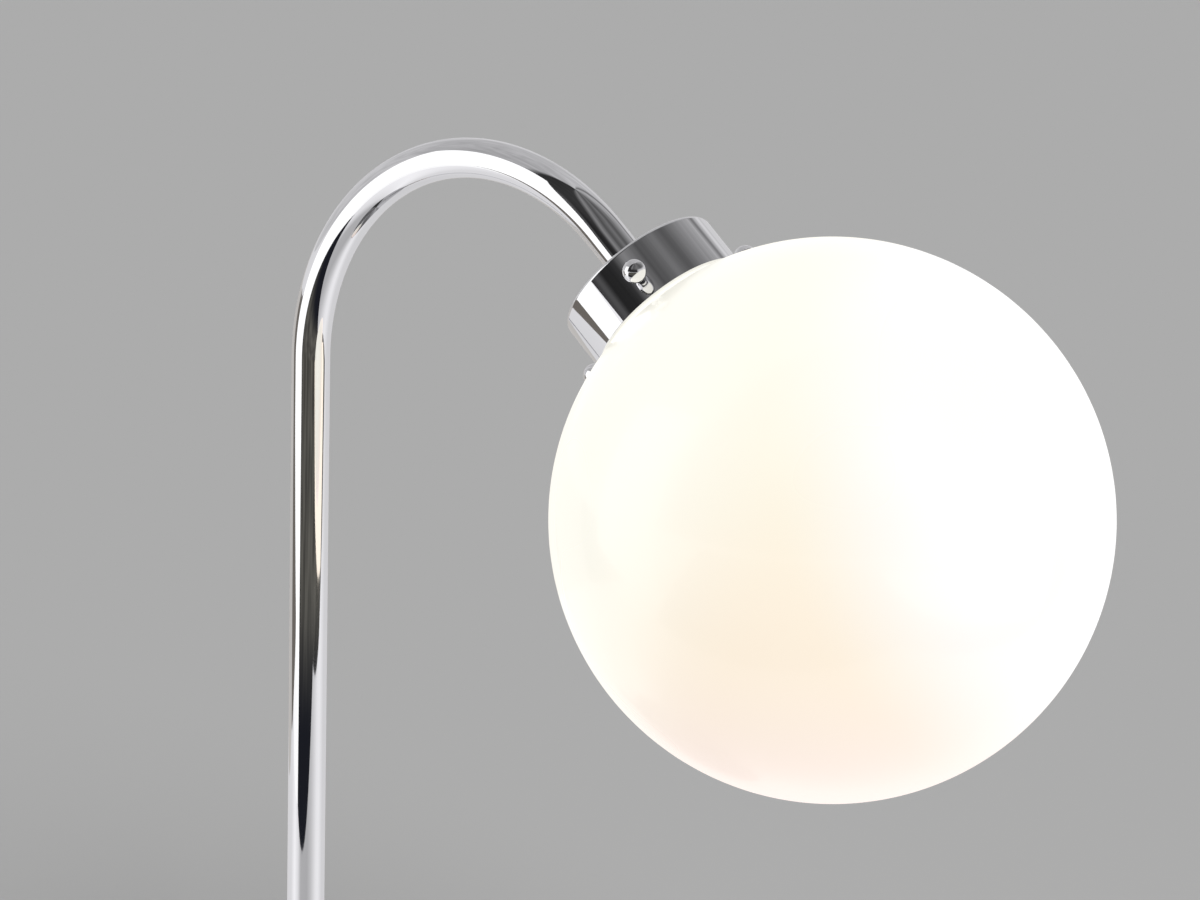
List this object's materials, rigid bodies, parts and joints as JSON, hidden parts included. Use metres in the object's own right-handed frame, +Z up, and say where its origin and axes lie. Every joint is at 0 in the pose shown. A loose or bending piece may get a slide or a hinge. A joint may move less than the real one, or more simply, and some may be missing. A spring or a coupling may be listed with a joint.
{
  "type": "globe table lamp",
  "caption": "Table lamp with an opal glass globe held by ball-headed screws in a cup at the end of one chrome arch tube, on a weighted round base.",
  "frame": {"origin": "centre of the base's underside, on the surface the lamp stands on", "axes": "+Z up along the stem; +X from the stem towards the globe; +Y across, at right angles to the plane of the arch"},
  "size_m": [0.4145, 0.21, 0.45],
  "materials": {
    "polished_chrome": "mirror-bright chrome plate",
    "opal_glass": "glossy white opal glass, lit from inside",
    "clear_silicone": "translucent soft silicone",
    "brass": "turned",
    "zinc_steel": "zinc plated",
    "spring_steel": "drawn wire",
    "nickel_brass": "nickel plated",
    "solder": "soldered",
    "holder_plastic": "white heat-resistant moulding",
    "white_ceramic": "glazed ceramic",
    "frosted_glass": "frosted",
    "clear_glass": "clear",
    "black_glass": "black glass",
    "filament_coat": "yellow phosphor",
    "cast_iron": "as cast, painted black",
    "pad_rubber": "fine-grained non-slip foam rubber",
    "black_rubber": "moulded",
    "white_nylon": "moulded",
    "black_plastic": "moulded",
    "earth_sheath": "green and yellow sheath",
    "wire_sheath": "brown sheath",
    "lead_sheath": "white sheath"
  },
  "bodies": {
    "lamp": {"arch_tube": "polished_chrome", "globe_cup": "polished_chrome", "stem_collar": "polished_chrome", "base_cover": "polished_chrome", "switch_bezel": "polished_chrome", "glass_globe": "opal_glass", "globe_seat_ring": "clear_silicone", "tube_end_bush": "brass", "cup_nipple": "zinc_steel", "cup_washer": "zinc_steel", "cup_nut": "zinc_steel", "stem_bush": "brass", "stem_nipple": "zinc_steel", "stem_washer": "zinc_steel", "stem_nut": "zinc_steel", "holder_cap": "holder_plastic", "holder_sleeve": "holder_plastic", "holder_insert": "white_ceramic", "holder_terminals": "brass", "holder_screw_shell": "nickel_brass", "holder_centre_contact": "brass", "base_weight": "cast_iron", "base_plate": "zinc_steel", "base_plate_screws": "zinc_steel", "base_pad": "pad_rubber", "cable_inlet_bush": "black_rubber", "terminal_block": "white_nylon", "terminal_screws": "zinc_steel", "earth_screw": "zinc_steel", "earth_lug": "nickel_brass", "earth_wire": "earth_sheath", "switch_body": "black_plastic", "switch_spring": "spring_steel", "switch_wires": "wire_sheath", "inner_lead": "lead_sheath"},
    "screw_1": {"ball_screw_1": "polished_chrome"},
    "screw_2": {"ball_screw_2": "polished_chrome"},
    "screw_3": {"ball_screw_3": "polished_chrome"},
    "bulb": {"bulb_globe": "frosted_glass", "bulb_cap": "nickel_brass", "bulb_insulator": "black_glass", "bulb_tip_contact": "solder", "bulb_stem": "clear_glass", "bulb_filaments": "filament_coat"},
    "button": {"switch_button": "polished_chrome"}
  },
  "joints": [
    {"name": "ball_screw_1_travel", "type": "slide", "parent": "lamp", "child": "screw_1", "axis": [0.3656, -0.8192, 0.4419], "range_m": [0, 0.0035]},
    {"name": "ball_screw_2_travel", "type": "slide", "parent": "lamp", "child": "screw_2", "axis": [0.2694, 0.9063, 0.3256], "range_m": [0, 0.0035]},
    {"name": "ball_screw_3_travel", "type": "slide", "parent": "lamp", "child": "screw_3", "axis": [-0.635, -0.0872, -0.7676], "range_m": [0, 0.0035]},
    {"name": "bulb_unscrew", "type": "slide", "parent": "lamp", "child": "bulb", "axis": [0.7705, 0, -0.6374], "range_m": [0, 0.018]},
    {"name": "button_press", "type": "slide", "parent": "lamp", "child": "button", "axis": [0, 0, -1], "range_m": [0, 0.002], "stiffness_N_per_m": 500, "springref_m": -0.004, "deforming": ["switch_spring"]}
  ]
}
